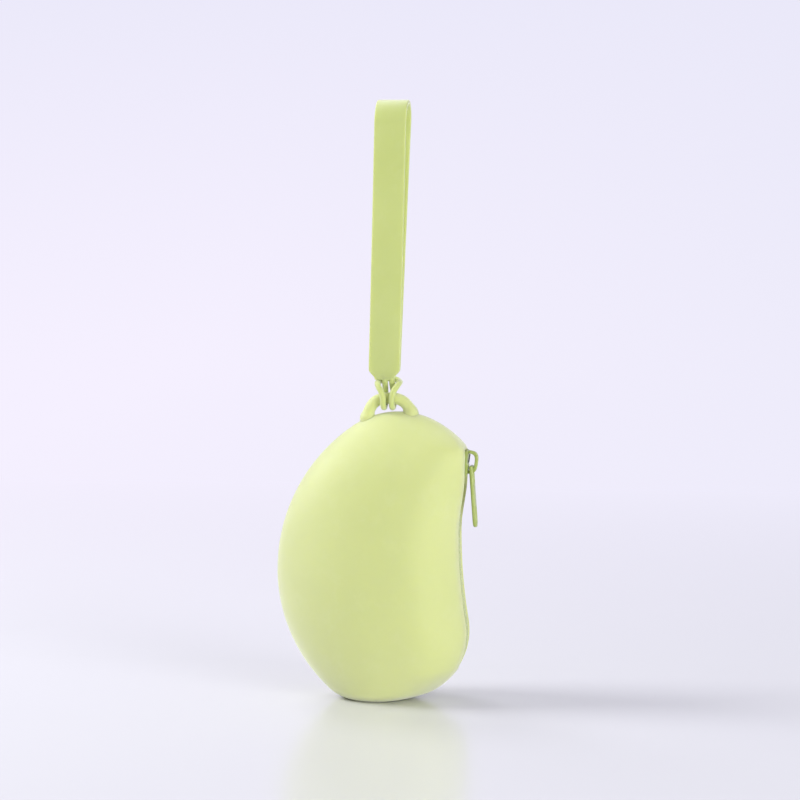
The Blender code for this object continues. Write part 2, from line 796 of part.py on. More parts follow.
def make_slider_crown(parts, material):
    base = plate_face() + CLEARANCE
    eye = plate_face() + CROWN_EYE
    outer = crown_path(eye + CROWN_WALL, CROWN_LENGTH, base)
    inner = crown_path(eye, CROWN_LENGTH - 2.0 * CROWN_WALL, base)
    mesh = plate_mesh("slider_crown", [outer + inner[::-1]], CROWN_WIDTH)
    for vertex in mesh.vertices:
        up, out, across = vertex.co
        vertex.co = slider_point(up, across, out)
    face_outwards(mesh)
    crown = add_object("slider_crown", mesh, parts, material)
    round_edges(crown, 0.0003, 1)
    return crown


def puller_bar_up():
    """Height of the puller's bar in the crown's eye, above its lower foot."""
    tail = CROWN_SHIFT - CROWN_LENGTH / 2.0 + CROWN_WALL
    return tail + CLEARANCE + PULLER_THICKNESS / 2.0 + PULLER_BAR_PLAY


def puller_axis():
    """Middle of the puller's top bar, low in the crown's eye."""
    return slider_point(puller_bar_up(), 0.0, plate_face() + PULLER_RISE)


def rounded_slot(middle_y, half_length, half_width, steps=6):
    """Outline of a slot with round ends, long in the second direction."""
    points = []
    straight = half_length - half_width
    for end, start in ((1.0, 0.0), (-1.0, math.pi)):
        for step in range(steps + 1):
            angle = start + math.pi * step / steps
            points.append((half_width * math.cos(angle),
                           middle_y + end * straight + half_width * math.sin(angle)))
    return points


def make_puller(parts, material):
    """Flat tab that hangs from its top bar, which passes through the crown's eye."""
    bar = PULLER_THICKNESS / 2.0
    half = PULLER_WIDTH / 2.0
    bottom = bar - PULLER_LENGTH
    corner = PULLER_CORNER
    outline = [(-half + corner, bar), (half - corner, bar), (half, bar - corner)]
    outline += [(half, bottom + half)]
    for step in range(1, 8):
        angle = -math.pi * step / 8.0
        outline.append((half * math.cos(angle), bottom + half + half * math.sin(angle)))
    outline += [(-half, bottom + half), (-half, bar - corner)]
    window_half = CROWN_WIDTH / 2.0 + 0.0005
    window = [(-window_half, -bar), (window_half, -bar),
              (window_half, -bar - PULLER_WINDOW), (-window_half, -bar - PULLER_WINDOW)]
    slot_half = PULLER_SLOT / 2.0
    slot_middle = bottom + PULLER_SLOT_MARGIN + slot_half
    slot = rounded_slot(slot_middle, slot_half, PULLER_SLOT_WIDTH / 2.0)
    mesh = plate_mesh("puller", [outline, window, slot], PULLER_THICKNESS)
    axis = puller_axis()
    lean = Matrix.Rotation(math.radians(-PULLER_LEAN), 3, "Y")
    for vertex in mesh.vertices:
        across, up, out = vertex.co
        vertex.co = lean @ Vector((out, across, up))
    face_outwards(mesh)
    puller = add_object("puller", mesh, parts, material)
    puller.location = axis
    round_edges(puller, 0.00025, 1)
    return puller


def make_lock_spring(parts, material):
    """Leaf between the puller's bar and the crown's upper foot, lying on the plate."""
    start = puller_bar_up() + PULLER_THICKNESS + CLEARANCE
    end = CROWN_SHIFT + CROWN_LENGTH / 2.0 - CROWN_WALL - 2.0 * CLEARANCE
    half = CROWN_WIDTH / 2.0 - 0.0004
    low = plate_face() + CLEARANCE
    high = low + SPRING_THICKNESS
    rings = []
    for step in range(7):
        up = start + (end - start) * step / 6.0
        rings.append([slider_point(up, a, p) for a, p in (
            (-half, low), (half, low), (half, high), (-half, high))])
    return add_object("slider_lock_spring", loft_mesh("slider_lock_spring", rings),
                      parts, material)


def main():
    clear_scene()
    parts = new_collection("silicone_cosmetic_pouch")
    cutters = new_collection("cutters")
    silicone = finish_material("body_silicone", (0.74, 0.83, 0.38), 0.55)
    strap_silicone = finish_material("strap_silicone", (0.60, 0.69, 0.27), 0.5)
    painted = finish_material("painted_slider", (0.47, 0.56, 0.19), 0.35, 0.2)
    teeth = finish_material("teeth_plastic", (0.55, 0.64, 0.25), 0.4)
    fabric = finish_material("tape_fabric", (0.52, 0.60, 0.24), 0.9)
    steel = finish_material("spring_steel", (0.55, 0.55, 0.55), 0.3, 1.0)

    make_pouch_body(parts, cutters, silicone)
    make_strap_lug(parts, cutters, silicone)
    make_hitch_loop(parts, strap_silicone)
    make_wrist_strap(parts, cutters, strap_silicone)
    make_zipper_tape("front_zipper_tape", -1.0, parts, fabric)
    make_zipper_tape("back_zipper_tape", 1.0, parts, fabric)
    make_teeth_row("front_teeth_row", -1.0, 0.0, parts, teeth)
    make_teeth_row("back_teeth_row", 1.0, TOOTH_PITCH / 2.0, parts, teeth)
    make_end_stops(parts, painted)
    make_slider_plate("slider_body", 1.0, parts, painted)
    make_slider_plate("slider_inner_plate", -1.0, parts, painted)
    make_slider_crown(parts, painted)
    make_lock_spring(parts, steel)
    make_puller(parts, painted)


main()
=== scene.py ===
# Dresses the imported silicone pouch: skin, lips, zip, slider, hitch and strap, and finishes.
import math

import bmesh
import bpy
from mathutils import Matrix, Vector, noise


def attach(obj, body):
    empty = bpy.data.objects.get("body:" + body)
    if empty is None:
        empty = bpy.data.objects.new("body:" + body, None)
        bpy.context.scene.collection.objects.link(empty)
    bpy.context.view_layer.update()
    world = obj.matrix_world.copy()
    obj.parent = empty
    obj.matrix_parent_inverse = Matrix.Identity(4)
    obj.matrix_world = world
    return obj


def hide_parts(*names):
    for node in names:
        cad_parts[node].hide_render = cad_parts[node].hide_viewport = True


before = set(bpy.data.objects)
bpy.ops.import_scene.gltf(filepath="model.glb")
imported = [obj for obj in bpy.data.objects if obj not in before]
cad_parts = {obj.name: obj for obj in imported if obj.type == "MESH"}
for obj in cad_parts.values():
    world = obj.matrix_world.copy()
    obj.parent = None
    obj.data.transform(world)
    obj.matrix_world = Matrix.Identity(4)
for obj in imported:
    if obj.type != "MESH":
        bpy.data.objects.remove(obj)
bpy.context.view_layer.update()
print("frame loaded")

# Camera, at the angle that the photograph was taken from

camera = {
    "azimuth": 8.0,       # degrees round from the front, towards the mouth
    "elevation": 6.0,
    "lens": 135.0,
    "distance": 1.4135,
    "lookAt": (0.0102, 0.0, 0.1424),
}


def placeCamera(values):
    azimuth = math.radians(values["azimuth"])
    elevation = math.radians(values["elevation"])
    level = math.cos(elevation)
    away = Vector((math.sin(azimuth) * level, -math.cos(azimuth) * level, math.sin(elevation)))
    lensData = bpy.data.cameras.new("productCamera")
    lensData.lens = values["lens"]
    lensData.sensor_fit = "HORIZONTAL"
    lensData.clip_start = 0.01
    holder = bpy.data.objects.new("productCamera", lensData)
    bpy.context.scene.collection.objects.link(holder)
    holder.location = Vector(values["lookAt"]) + away * values["distance"]
    holder.rotation_euler = away.to_track_quat("Z", "Y").to_euler()
    bpy.context.scene.camera = holder


placeCamera(camera)
print("camera placed")

# Small tools for curves and meshes


def softRamp(low, high, value):
    share = min(1.0, max(0.0, (value - low) / (high - low)))
    return share * share * (3.0 - 2.0 * share)


def softMin(first, second, blend):
    share = max(0.0, blend - abs(first - second)) / blend
    return min(first, second) - share * share * blend / 4.0


def halfChord(radius, offset):
    return math.sqrt(max(0.0, radius * radius - offset * offset))


def squarish(value, power):
    # a sine or cosine, pushed towards the corners of a square
    return math.copysign(abs(value) ** power, value)


def roundedLoop(halfWidth, low, high, corner, steps):
    # a rectangle with rounded corners
    points = []
    for sideX, sideY, first in ((1, 1, 0), (-1, 1, 90), (-1, -1, 180), (1, -1, 270)):
        for step in range(steps + 1):
            turn = math.radians(first + 90.0 * step / steps)
            middle = high - corner if sideY > 0 else low + corner
            points.append((sideX * (halfWidth - corner) + corner * math.cos(turn),
                           middle + corner * math.sin(turn)))
    return points


def flowThrough(knots, perSpan):
    # a smooth curve through every knot
    knots = [Vector(knot) for knot in knots]
    held = [2.0 * knots[0] - knots[1], *knots, 2.0 * knots[-1] - knots[-2]]
    points = []
    for index in range(1, len(held) - 2):
        before, start, end, after = held[index - 1:index + 3]
        for step in range(perSpan):
            t = step / perSpan
            points.append(0.5 * (
                2.0 * start + (end - before) * t
                + (2.0 * before - 5.0 * start + 4.0 * end - after) * t * t
                + (3.0 * start - before - 3.0 * end + after) * t ** 3))
    points.append(knots[-1])
    return points


def newPiece(name, mesh, material):
    piece = bpy.data.objects.new(name, mesh)
    bpy.context.scene.collection.objects.link(piece)
    mesh.materials.append(material)
    return piece


def meshFrom(name, build):
    mesh = bpy.data.meshes.new(name)
    build.to_mesh(mesh)
    build.free()
    return mesh


def joinRings(build, rings):
    # the wall between rings of equal length, and a cap at its start
    rows = [[build.verts.new(point) for point in ring] for ring in rings]
    count = len(rows[0])
    for lower, upper in zip(rows, rows[1:]):
        for index in range(count):
            after = (index + 1) % count
            build.faces.new((lower[index], lower[after], upper[after], upper[index]))
    build.faces.new(rows[0][::-1])
    return rows[-1]


def skinRings(name, rings, tip=None):
    # one closed skin that ends in a flat cap or a tip
    build = bmesh.new()
    last = joinRings(build, rings)
    if tip is None:
        build.faces.new(last)
    else:
        top = build.verts.new(tip)
        for index, vert in enumerate(last):
            build.faces.new((vert, last[(index + 1) % len(last)], top))
    bmesh.ops.recalc_face_normals(build, faces=build.faces)
    return meshFrom(name, build)


def sweepTube(name, points, radii, across, sides):
    # a tube with a radius at each point, whose section turns as little as it can
    rings = []
    side = Vector(across)
    for index, point in enumerate(points):
        run = points[min(index + 1, len(points) - 1)] - points[max(index - 1, 0)]
        run.normalize()
        side = (side - run * side.dot(run)).normalized()
        up = run.cross(side)
        ring = []
        for step in range(sides):
            turn = 2.0 * math.pi * step / sides
            ring.append(point + side * radii[index] * math.cos(turn)
                        + up * radii[index] * math.sin(turn))
        rings.append(ring)
    return skinRings(name, rings)


def evaluatedMesh(holder):
    depsgraph = bpy.context.evaluated_depsgraph_get()
    return bpy.data.meshes.new_from_object(holder.evaluated_get(depsgraph))


def settle(piece):
    # makes the modifiers' result the piece's own mesh
    mesh = evaluatedMesh(piece)
    piece.modifiers.clear()
    piece.data = mesh


def cutAway(piece, cutters):
    for cutter in cutters:
        modifier = piece.modifiers.new("cut", "BOOLEAN")
        modifier.operation = "DIFFERENCE"
        modifier.solver = "EXACT"
        modifier.object = cutter
    settle(piece)
    for cutter in cutters:
        bpy.data.objects.remove(cutter, do_unlink=True)


def softenEdges(piece, width, segments=3, angle=30.0):
    bevel = piece.modifiers.new("soften", "BEVEL")
    bevel.width = width
    bevel.segments = segments
    bevel.limit_method = "ANGLE"
    bevel.angle_limit = math.radians(angle)
    settle(piece)


def shadeSmooth(piece, angle):
    piece.data.shade_smooth()
    piece.data.set_sharp_from_angle(angle=math.radians(angle))


weldGap = 0.000003      # points of a stamped blank nearer than this become one


def stampedPlate(name, outlines, thickness, rim):
    # a flat blank with rounded rims, whose first outline is the outside and the rest holes
    curve = bpy.data.curves.new(name, "CURVE")
    curve.dimensions = "2D"
    curve.fill_mode = "BOTH"
    curve.extrude = thickness / 2.0 - rim
    curve.bevel_depth = rim
    curve.bevel_resolution = 3
    curve.offset = -rim
    for outline in outlines:
        line = curve.splines.new("POLY")
        line.points.add(len(outline) - 1)
        line.use_cyclic_u = True
        for knot, point in zip(line.points, outline):
            knot.co = (point[0], point[1], 0.0, 1.0)
    holder = bpy.data.objects.new(name, curve)
    bpy.context.scene.collection.objects.link(holder)
    mesh = evaluatedMesh(holder)
    bpy.data.objects.remove(holder, do_unlink=True)
    build = bmesh.new()
    build.from_mesh(mesh)
    bmesh.ops.remove_doubles(build, verts=build.verts, dist=weldGap)
    bmesh.ops.recalc_face_normals(build, faces=build.faces)
    build.to_mesh(mesh)
    build.free()
    return mesh


def carry(piece, smoothAngle, body, node):
    shadeSmooth(piece, smoothAngle)
    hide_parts(node)
    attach(piece, body)


# Finishes. Every colour here is in linear light.


class NodeTree:
    # a short way to write the shader nodes of a material or of the world
    def __init__(self, owner):
        owner.use_nodes = True
        self.owner = owner
        self.nodes = owner.node_tree.nodes
        self.shader = self.nodes.get("Principled BSDF")

    def add(self, kind, values=None, links=None, **settings):
        node = self.nodes.new(kind)
        for key, value in settings.items():
            setattr(node, key, value)
        for key, value in (values or {}).items():
            node.inputs[key].default_value = value
        for key, source in (links or {}).items():
            self.link(source, node.inputs[key])
        return node

    def link(self, source, target):
        self.owner.node_tree.links.new(source, target)

    def feed(self, name, source):
        self.link(source, self.shader.inputs[name])

    def place(self, stretch=(1.0, 1.0, 1.0)):
        where = self.add("ShaderNodeTexCoord").outputs["Object"]
        return self.add("ShaderNodeMapping", {"Scale": stretch}, {"Vector": where}).outputs[0]

    def speckle(self, where, scale, detail=3.0, roughness=0.5):
        texture = self.add("ShaderNodeTexNoise",
                           {"Scale": scale, "Detail": detail, "Roughness": roughness},
                           {"Vector": where})
        return texture.outputs["Fac"]

    def threads(self, where, scale, stray, direction):
        wave = self.add("ShaderNodeTexWave", {"Scale": scale, "Distortion": stray, "Detail": 1.0},
                        {"Vector": where}, bands_direction=direction)
        return wave.outputs["Fac"]

    def span(self, source, low=0.0, high=1.0, fromLow=0.3, fromHigh=0.7):
        node = self.add("ShaderNodeMapRange", {
            "From Min": fromLow, "From Max": fromHigh, "To Min": low, "To Max": high},
            {"Value": source})
        return node.outputs["Result"]

    def sums(self, operation, first, second):
        node = self.add("ShaderNodeMath", operation=operation)
        for socket, value in zip(node.inputs, (first, second)):
            if isinstance(value, float):
                socket.default_value = value
            else:
                self.link(value, socket)
        return node.outputs[0]

    def mixColours(self, share, first, second):
        node = self.add("ShaderNodeMix", data_type="RGBA")
        self.link(share, node.inputs["Factor"])
        for socket, value in ((node.inputs[6], first), (node.inputs[7], second)):
            if isinstance(value, tuple):
                socket.default_value = (*value, 1.0)
            else:
                self.link(value, socket)
        return node.outputs[2]

    def clouded(self, where, values, detail):
        # the piece's two tones, in slow clouds
        cloud = self.speckle(where, values["cloudScale"], detail)
        return self.mixColours(self.span(cloud), values["deep"], values["pale"])

    def roughen(self, source, roughness, spread):
        low, high = (roughness + stray for stray in spread)
        self.feed("Roughness", self.span(source, low, high))

    def seenRays(self):
        # 1 for what the camera sees, straight, in a reflection or through something clear
        path = self.add("ShaderNodeLightPath").outputs
        seen = self.sums("MAXIMUM", path["Is Camera Ray"], path["Is Glossy Ray"])
        return self.sums("MAXIMUM", seen, path["Is Transmission Ray"])

    def mixShaders(self, share, first, second, target):
        mix = self.add("ShaderNodeMixShader")
        for socket, source in zip(mix.inputs, (share, first, second)):
            self.link(source, socket)
        self.link(mix.outputs[0], target)

    def bump(self, height, strength, distance, below=None):
        links = {"Height": height}
        if below is not None:
            links["Normal"] = below
        node = self.add("ShaderNodeBump", {"Strength": strength, "Distance": distance}, links)
        return node.outputs["Normal"]

    def set(self, **values):
        for key, value in values.items():
            self.shader.inputs[key.replace("_", " ")].default_value = value


def newMaterial(name):
    return NodeTree(bpy.data.materials.new(name))


silicone = {      # what the skin and the strap have in common
    "dustFineness": 6.0,            # finer than the clouds by this much
    "satinScale": 140.0, "satinSpread": (-0.06, 0.07),
    "rippleScale": 95.0, "rippleDepth": 0.001, "grainDepth": 0.0002,
    "glowRadius": (1.0, 0.9, 0.35), "glowScale": 0.006,
    "sheenRoughness": 0.6, "gloss": 0.35,
}


def siliconeFinish(name, values):
    tree = newMaterial(name)
    where = tree.place()
    colour = tree.clouded(where, values, 2.0)
    grime = tree.speckle(where, values["cloudScale"] * silicone["dustFineness"], 5.0, 0.65)
    colour = tree.mixColours(tree.span(grime, 0.0, values["grime"], 0.52, 0.75),
                             colour, values["dust"])
    satin = tree.speckle(where, silicone["satinScale"], 4.0)
    tree.roughen(satin, values["roughness"], silicone["satinSpread"])
    grain = tree.speckle(where, values["grainScale"], 2.0, 0.6)
    normal = tree.bump(grain, values["grain"], silicone["grainDepth"])
    ripple = tree.speckle(where, silicone["rippleScale"], 2.0)
    normal = tree.bump(ripple, values["ripple"], silicone["rippleDepth"], normal)
    if "seam" in values:
        colour, normal = partingLineWithShade(tree, where, values["seam"], colour, normal)
    tree.feed("Base Color", colour)
    tree.feed("Normal", normal)
    tree.set(Subsurface_Weight=values["glow"], Subsurface_Radius=silicone["glowRadius"],
             Subsurface_Scale=silicone["glowScale"], Sheen_Weight=values["sheen"],
             Sheen_Roughness=silicone["sheenRoughness"], Specular_IOR_Level=silicone["gloss"])
    return tree.owner


def partingLineWithShade(tree, where, seam, colour, normal):
    # a fine mould line down the middle plane, from the lug over the dome to the mouth: a shallow
    # groove in the bump, and painted shade that darkens its colour
    split = tree.add("ShaderNodeSeparateXYZ", links={"Vector": where})
    offset = tree.sums("ABSOLUTE", split.outputs["Y"], 0.0)
    nearLine = tree.span(offset, 1.0, 0.0, seam["width"] * 0.4, seam["width"])
    past = tree.span(split.outputs["X"], 0.0, 1.0, seam["fromX"] - seam["fade"], seam["fromX"])
    above = tree.span(split.outputs["Z"], 0.0, 1.0, seam["fromZ"] - seam["fade"] / 2.0,
                      seam["fromZ"])
    lineAndShade = tree.sums("MULTIPLY", tree.sums("MULTIPLY", nearLine, past), above)
    # painted shade: the colour is darkened along the line as if shaded in its groove
    colour = tree.mixColours(tree.sums("MULTIPLY", lineAndShade, seam["paintedShade"]), colour, seam["colour"])
    lowered = tree.sums("SUBTRACT", 1.0, lineAndShade)
    return colour, tree.bump(lowered, 0.6, seam["depth"], normal)


def paintFinish(name, values):
    # enamel over die-cast metal, rubbed thin on the corners
    tree = newMaterial(name)
    where = tree.place()
    colour = tree.clouded(where, values, 3.0)
    point = tree.add("ShaderNodeNewGeometry").outputs["Pointiness"]
    scuff = tree.speckle(where, values["scuffScale"], 4.0, 0.7)
    edge = tree.span(point, 0.0, 1.0, 0.53, 0.60)
    wear = tree.sums("MULTIPLY", edge, tree.span(scuff, 0.0, values["wear"], 0.45, 0.65))
    colour = tree.mixColours(wear, colour, values["bare"])
    tree.feed("Base Color", colour)
    tree.roughen(scuff, values["roughness"], (-0.07, 0.10))
    peel = tree.speckle(where, values["peelScale"], 2.0)
    tree.feed("Normal", tree.bump(peel, values["peel"], 0.00005))
    tree.set(Coat_Weight=values["coat"], Coat_Roughness=0.2)
    return tree.owner


def tapeFinish(name, values):
    # woven tape: warp threads along the zip and picks across it
    tree = newMaterial(name)
    where = tree.place()
    picks = tree.threads(where, values["picks"], 0.4, "Z")
    warps = tree.threads(where, values["warps"], 0.3, "Y")
    weave = tree.sums("MULTIPLY", picks, warps)
    fuzz = tree.speckle(where, values["fuzzScale"])
    colour = tree.mixColours(weave, values["deep"], values["pale"])
    colour = tree.mixColours(tree.span(fuzz, 0.0, 0.25), colour, values["dust"])
    tree.feed("Base Color", colour)
    tree.feed("Roughness", tree.span(fuzz, 0.75, 0.95))
    normal = tree.bump(weave, 0.7, 0.00015)
    tree.feed("Normal", tree.bump(fuzz, 0.3, 0.00008, normal))
    tree.set(Sheen_Weight=0.4, Sheen_Roughness=0.5, Specular_IOR_Level=0.25)
    return tree.owner


def mouldedFinish(name, values):
    tree = newMaterial(name)
    where = tree.place()
    tree.feed("Base Color", tree.clouded(where, values, 2.0))
    rub = tree.speckle(where, values["rubScale"])
    tree.roughen(rub, values["roughness"], (-0.08, 0.08))
    tree.feed("Normal", tree.bump(rub, 0.15, 0.00005))
    tree.set(Subsurface_Weight=0.08, Subsurface_Radius=(1.0, 0.9, 0.4), Subsurface_Scale=0.001)
    return tree.owner


def steelFinish(name, values):
    tree = newMaterial(name)
    where = tree.place(values["grainStretch"])
    grain = tree.speckle(where, values["grainScale"], 4.0)
    tree.feed("Base Color", tree.mixColours(tree.span(grain), values["deep"], values["pale"]))
    tree.roughen(grain, values["roughness"], (-0.10, 0.10))
    tree.feed("Normal", tree.bump(grain, 0.2, 0.00003))
    tree.set(Metallic=1.0)
    return tree.owner


skinValues = {
    "deep": (0.590, 0.650, 0.238), "pale": (0.640, 0.696, 0.272), "dust": (0.70, 0.75, 0.42),
    "grime": 0.16, "cloudScale": 14.0, "roughness": 0.55, "grainScale": 2400.0, "grain": 0.10,
    "ripple": 0.05, "glow": 0.45, "sheen": 0.70,
    # the seam's darker colour is painted shade along the mould line
    "seam": {"width": 0.0004, "depth": 0.0003, "fromX": 0.016, "fromZ": 0.100, "fade": 0.002,
             "paintedShade": 0.55, "colour": (0.34, 0.42, 0.15)},
}
strapValues = {
    "deep": (0.500, 0.574, 0.176), "pale": (0.538, 0.610, 0.207), "dust": (0.61, 0.66, 0.34),
    "grime": 0.14, "cloudScale": 26.0, "roughness": 0.48, "grainScale": 2800.0, "grain": 0.10,
    "ripple": 0.06, "glow": 0.32, "sheen": 0.65,
}
paintValues = {
    "deep": (0.345, 0.425, 0.100), "pale": (0.400, 0.485, 0.130), "bare": (0.62, 0.62, 0.48),
    "wear": 0.35, "roughness": 0.32, "peel": 0.12, "coat": 0.15,
    "cloudScale": 160.0, "scuffScale": 900.0, "peelScale": 1300.0,
}
tapeValues = {
    "deep": (0.460, 0.530, 0.220), "pale": (0.610, 0.680, 0.310), "dust": (0.64, 0.69, 0.42),
    "picks": 620.0, "warps": 780.0, "fuzzScale": 2600.0,
}
toothValues = {
    "deep": (0.520, 0.585, 0.270), "pale": (0.600, 0.665, 0.340), "roughness": 0.36,
    "cloudScale": 420.0, "rubScale": 1500.0,
}
# near black steel: painted shade standing in for the shadow in the slider's throat
springShadeValues = {
    "deep": (0.016, 0.018, 0.011), "pale": (0.042, 0.046, 0.028), "roughness": 0.32,
    "grainScale": 700.0, "grainStretch": (1.0, 14.0, 1.0),
}

skinMaterial = siliconeFinish("limeSilicone", skinValues)
strapMaterial = siliconeFinish("strapSilicone", strapValues)
paintMaterial = paintFinish("greenEnamel", paintValues)
tapeMaterial = tapeFinish("wovenTape", tapeValues)
toothMaterial = mouldedFinish("mouldedTeeth", toothValues)
springShadeMaterial = steelFinish("springSteelPaintedShade", springShadeValues)
print("finishes ready")

# The bean: a chain of arcs seen from the front, and a thickness seen from the side

bean = {
    "height": 0.137,
    "spineReach": 0.0485, "spineHeight": 0.0608, "spineLower": 0.0765,
    "domeRadius": 0.0380, "domeOffset": 0.0098,
    "waistReach": 0.0387, "waistHeight": 0.079, "mouthRadius": 0.250,
    "bulgeRadius": 0.033, "baseTrim": 0.0006, "shoulder": 0.002,
    "swell": 0.0015, "swellHeight": 0.102, "swellReach": 0.020,
    "easeReach": 0.0182,          # the shoulder is eased over this much, up and down
    "easeFrom": 0.035, "easeFull": 0.075,      # heights that the easing fades in between
    "thickness": 0.055, "bellyHeight": 0.052, "baseNarrowing": 0.013,
    "bellyPower": 2.4, "bellyRound": 0.6,
    "wall": 0.0024, "lipDepth": 0.0046, "mouthWidth": 0.010, "lipRoll": 0.0016,
    "noseDepth": 0.002, "noseAbove": 0.015, "noseFade": 0.018, "noseBelow": 0.012,
    "noseInset": 0.0006, "noseThin": 0.006,
    "seamWidth": 0.0024, "lipFlare": 0.0010,
    "mouthTop": 0.1200, "mouthBottom": 0.0155, "mouthEnd": 0.0012,
    "baseEdge": 0.0045,           # rounding where the side meets the flat base
    "wobble": 0.00018,            # how far the moulded skin strays from true
    "wobbleScale": 38.0, "calmBase": 0.012, "calmMouth": (0.004, 0.009),
    "skinRows": (150, 72), "liningRows": (60, 40),      # rings, and points to half a ring
}
mouthCentre = Vector((bean["waistReach"] + bean["mouthRadius"], 0.0, bean["waistHeight"]))
bulgeHeight = bean["bulgeRadius"] - bean["baseTrim"]
bulgeReach = halfChord(bean["mouthRadius"] + bean["bulgeRadius"],
                       bean["waistHeight"] - bulgeHeight)
bulgeCentre = Vector((mouthCentre.x - bulgeReach, 0.0, bulgeHeight))
domeCentre = Vector((bean["domeOffset"], 0.0, bean["height"] - bean["domeRadius"]))


def leftEdge(height):
    # two arcs of the spine, then the dome where the upper one meets it
    rise = height - bean["spineHeight"]
    if rise < 0.0:
        return bean["spineLower"] - bean["spineReach"] - halfChord(bean["spineLower"], rise)
    across = bean["domeOffset"] + bean["spineReach"]
    step = domeCentre.z - bean["spineHeight"]
    dome = bean["domeRadius"]
    radius = (across ** 2 + step ** 2 - dome ** 2) / (2.0 * (across - dome))
    centreX = radius - bean["spineReach"]
    towards = Vector((domeCentre.x - centreX, step)).normalized()
    if height > domeCentre.z + dome * towards.y:
        return domeCentre.x - halfChord(dome, height - domeCentre.z)
    return centreX - halfChord(radius, rise)


def lipEdge(height):
    # the bulge, the hollow along the zip, and the dome past the shoulder
    towards = (mouthCentre - bulgeCentre).normalized()
    if height < bulgeCentre.z + bean["bulgeRadius"] * towards.z:
        return bulgeCentre.x + halfChord(bean["bulgeRadius"], height - bulgeCentre.z)
    hollow = mouthCentre.x - halfChord(bean["mouthRadius"], height - mouthCentre.z)
    hollow += bean["swell"] * softRamp(bean["swellReach"], 0.0, abs(height - bean["swellHeight"]))
    if height < domeCentre.z:
        return hollow
    crown = domeCentre.x + halfChord(bean["domeRadius"], height - domeCentre.z)
    blend = bean["shoulder"] * softRamp(bean["height"], bean["mouthTop"], height)
    return softMin(hollow, crown, max(blend, 0.00001))


def halfThickness(height):
    belly = bean["bellyHeight"]
    if height > belly:
        share = (height - belly) / (bean["height"] - belly)
    else:
        share = (belly - height) / (belly + bean["baseNarrowing"])
    fullness = max(0.0, 1.0 - share ** bean["bellyPower"]) ** bean["bellyRound"]
    return bean["thickness"] / 2.0 * fullness


def mouthShare(height):
    # 1 where the lips are at their full width, 0 where only the seam's ridge is left
    share = (bean["mouthTop"] + bean["noseAbove"] - height) / bean["noseFade"]
    share = min(1.0, max(0.0, share))
    above = share ** 3 * (share * (share * 6.0 - 15.0) + 10.0)
    bottom = bean["mouthBottom"]
    return above * softRamp(bottom - bean["noseBelow"], bottom + 0.001, height)


def easedLip(height):
    # the lip edge with its shoulder eased out, which the skin follows away from the lip
    reach = min(bean["easeReach"], bean["height"] - height)
    reach *= softRamp(bean["easeFrom"], bean["easeFull"], height)
    eased = weight = 0.0
    for step in range(-8, 9):
        share = 1.0 - abs(step) / 8.0
        eased += share * lipEdge(height + reach * step / 8.0)
        weight += share
    return eased / weight


def beanRing(height, level, inset, lipInset, count):
    # one level ring of the skin, or of the lining when it is set in
    wide = bean["mouthWidth"] / 2.0 + bean["lipRoll"]
    share = mouthShare(height)
    rise = bean["noseDepth"] * (1.0 - math.sqrt(1.0 - (bean["mouthWidth"] / 2.0 / wide) ** 2))
    left = leftEdge(height) + inset
    right = lipEdge(height) + rise * share - lipInset
    thick = max(0.0, halfThickness(height) - inset)
    nose = bean["seamWidth"] / 2.0 + (wide - bean["seamWidth"] / 2.0) * share
    nose = (nose - min(inset, bean["noseInset"])) * min(1.0, thick / bean["noseThin"])
    middle = (left + right) / 2.0
    half = max(0.00005, (right - left) / 2.0)
    depth = min(bean["noseDepth"], 0.2 * half)
    ease = easedLip(height) - lipEdge(height)
    front = []
    for step in range(1, count):
        across = -math.cos(math.pi * step / count)
        x = middle + half * across
        x += ease * (1.0 + across) / 2.0 * (1.0 - softRamp(0.5, 1.0, across))
        # round towards the spine, leaner towards the mouth, with the lip's nose on it
        full = 1.0 - across * across
        lean = softRamp(-0.3, 1.0, across)
        bow = math.sqrt(full) * (1.0 - lean) + full ** 0.8 * lean
        fall = max(0.0, x - (right - depth)) / depth
        ridge = softRamp(0.1, 1.0, across) * math.sqrt(max(0.0, 1.0 - fall * fall))
        front.append((x, thick * bow + nose * ridge))
    ring = [Vector((middle - half, 0.0, level))]
    ring += [Vector((x, -y, level)) for x, y in front]
    ring.append(Vector((middle + half, 0.0, level)))
    ring += [Vector((x, y, level)) for x, y in reversed(front)]
    return ring


def beanSkin(name, rows, inset=0.0, lipInset=0.0, edge=0.0):
    # rings from the floor of the skin or lining to its top, closer together at both ends
    ringCount, count = rows
    floor = inset
    top = bean["height"] - inset
    rings = []
    for step in range(ringCount):
        share = (1.0 - math.cos(math.pi * step / ringCount)) / 2.0
        level = floor + (top - floor) * share
        height = bean["height"] * (level - floor) / (top - floor) * (1.0 - floor / top) + floor
        tuck = 0.0
        if level < edge:
            tuck = edge - halfChord(edge, edge - level)
        rings.append(beanRing(min(height, bean["height"]), level, inset + tuck,
                              lipInset + tuck, count))
    return skinRings(name, rings, tip=(bean["domeOffset"], 0.0, top))


# The zip runs down the hollow and round the bulge

zipper = {
    "recess": 0.0010, "pitch": 0.0026, "head": 0.00104, "neck": 0.00072, "reach": 0.0009,
    "toothThickness": 0.002, "toothRim": 0.00013, "noseShare": 0.55,
    "beadInner": 0.0017, "beadOuter": 0.0023, "beadSquareness": 0.6, "leg": 0.0027,
    "start": 0.0010, "endGap": 0.0022, "chainTop": 0.1170,
    "tape": 0.0005, "tapeBend": 0.0009, "flange": 0.004,
    "stopLength": 0.0016, "stopNotch": 0.0012, "gap": 0.0003,
}
chainRadius = bean["mouthRadius"] + zipper["recess"]
smallRadius = bean["bulgeRadius"] - zipper["recess"]
turnPoint = math.atan2((mouthCentre - bulgeCentre).z, (mouthCentre - bulgeCentre).x)


def chainAngle(height):
    return math.asin((height - bean["waistHeight"]) / chainRadius)


